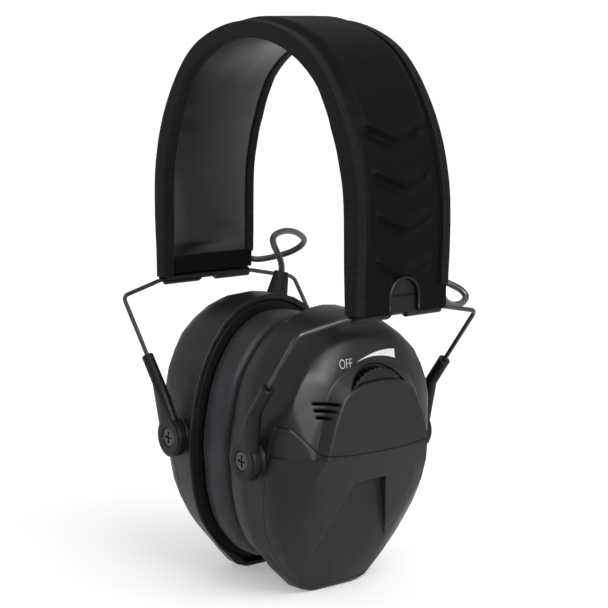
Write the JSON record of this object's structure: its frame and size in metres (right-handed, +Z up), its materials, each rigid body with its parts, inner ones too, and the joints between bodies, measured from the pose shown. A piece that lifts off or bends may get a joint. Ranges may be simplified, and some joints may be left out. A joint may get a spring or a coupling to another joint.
{
  "type": "earmuff hearing protector",
  "caption": "Folding electronic earmuff: padded headband, wire yokes with sliding stems, moulded cups with soft cushions, volume wheel and battery cover.",
  "frame": {"origin": "midway between the two cups, on the ground that the cups' feet stand on", "axes": "+X to the wearer's right cup with the volume wheel, +Y to the rear edge where the cables enter the band, +Z up to the crown of the headband"},
  "size_m": [0.1208, 0.0866, 0.2056],
  "materials": {
    "cover_fabric": "stretch neoprene cloth",
    "lining_fabric": "smooth satin-like lining",
    "binding_tape": "ribbed woven tape",
    "spring_steel": "rolled strip",
    "black_plastic": "moulded, fine texture",
    "coated_wire": "dark coated wire",
    "screw_metal": "black oxide",
    "charcoal_plastic": "soft-touch moulded",
    "cushion_skin": "soft synthetic leather",
    "inner_plastic": "moulded",
    "foam": "open cell foam",
    "bright_metal": "bright",
    "wheel_plastic": "knurled rubbery plastic",
    "board": "solder mask",
    "cell_wrap": "printed wrap",
    "cable_rubber": "smooth jacket"
  },
  "bodies": {
    "headband": {"headband_cover": "cover_fabric", "headband_pad": "lining_fabric", "spring_strip": "spring_steel", "binding_front": "binding_tape", "binding_rear": "binding_tape", "end_cap_right": "black_plastic", "end_cap_left": "black_plastic", "loop_cable_right": "cable_rubber", "loop_cable_left": "cable_rubber", "band_cable": "cable_rubber"},
    "yoke_right": {"yoke_wire_right": "coated_wire"},
    "stems_right": {"stem_right_front": "black_plastic", "stem_right_rear": "black_plastic"},
    "cup_right": {"pivot_screws_right": "screw_metal", "cup_shell_right": "charcoal_plastic", "cushion_right": "cushion_skin", "cushion_ring_right": "black_plastic", "baffle_right": "inner_plastic", "ear_foam_right": "foam", "speaker_right": "bright_metal", "circuit_board_right": "board", "microphone_right": "bright_metal", "strain_relief_right": "cable_rubber", "volume_pot": "bright_metal", "battery_cells": "cell_wrap", "battery_contacts": "bright_metal"},
    "yoke_left": {"yoke_wire_left": "coated_wire"},
    "stems_left": {"stem_left_front": "black_plastic", "stem_left_rear": "black_plastic"},
    "cup_left": {"pivot_screws_left": "screw_metal", "cup_shell_left": "charcoal_plastic", "cushion_left": "cushion_skin", "cushion_ring_left": "black_plastic", "baffle_left": "inner_plastic", "ear_foam_left": "foam", "speaker_left": "bright_metal", "circuit_board_left": "board", "microphone_left": "bright_metal", "strain_relief_left": "cable_rubber", "lower_cover_left": "charcoal_plastic", "audio_jack": "black_plastic"},
    "wheel": {"volume_wheel": "wheel_plastic"},
    "door": {"battery_door_right": "charcoal_plastic"}
  },
  "joints": [
    {"name": "open_right", "type": "hinge", "parent": "headband", "child": "yoke_right", "pos_m": [0.0555, 0, 0.1052], "axis": [0, -1, 0], "range_deg": [0, 45], "deforming": ["loop_cable_right"]},
    {"name": "slide_right", "type": "slide", "parent": "yoke_right", "child": "stems_right", "axis": [0.6157, 0, 0.788], "range_m": [0, 0.008], "deforming": ["loop_cable_right"]},
    {"name": "tilt_right", "type": "hinge", "parent": "stems_right", "child": "cup_right", "pos_m": [0.02236, 0, 0.05304], "axis": [0, -1, 0], "range_deg": [-45, 0], "deforming": ["loop_cable_right"]},
    {"name": "open_left", "type": "hinge", "parent": "headband", "child": "yoke_left", "pos_m": [-0.0555, 0, 0.1052], "axis": [0, 1, 0], "range_deg": [0, 45], "deforming": ["loop_cable_left"]},
    {"name": "slide_left", "type": "slide", "parent": "yoke_left", "child": "stems_left", "axis": [-0.6157, 0, 0.788], "range_m": [0, 0.008], "deforming": ["loop_cable_left"]},
    {"name": "tilt_left", "type": "hinge", "parent": "stems_left", "child": "cup_left", "pos_m": [-0.02236, 0, 0.05304], "axis": [0, 1, 0], "range_deg": [-45, 0], "deforming": ["loop_cable_left"]},
    {"name": "volume_turn", "type": "hinge", "parent": "cup_right", "child": "wheel", "pos_m": [0.0448, 0, 0.0715], "axis": [1, 0, 0], "range_deg": [0, 280]},
    {"name": "door_pull", "type": "slide", "parent": "cup_right", "child": "door", "axis": [1, 0, 0], "range_m": [0, 0.012]}
  ],
  "couplings": [
    {"joint": "tilt_right", "follows": "open_right", "ratio": -1},
    {"joint": "tilt_left", "follows": "open_left", "ratio": -1}
  ]
}
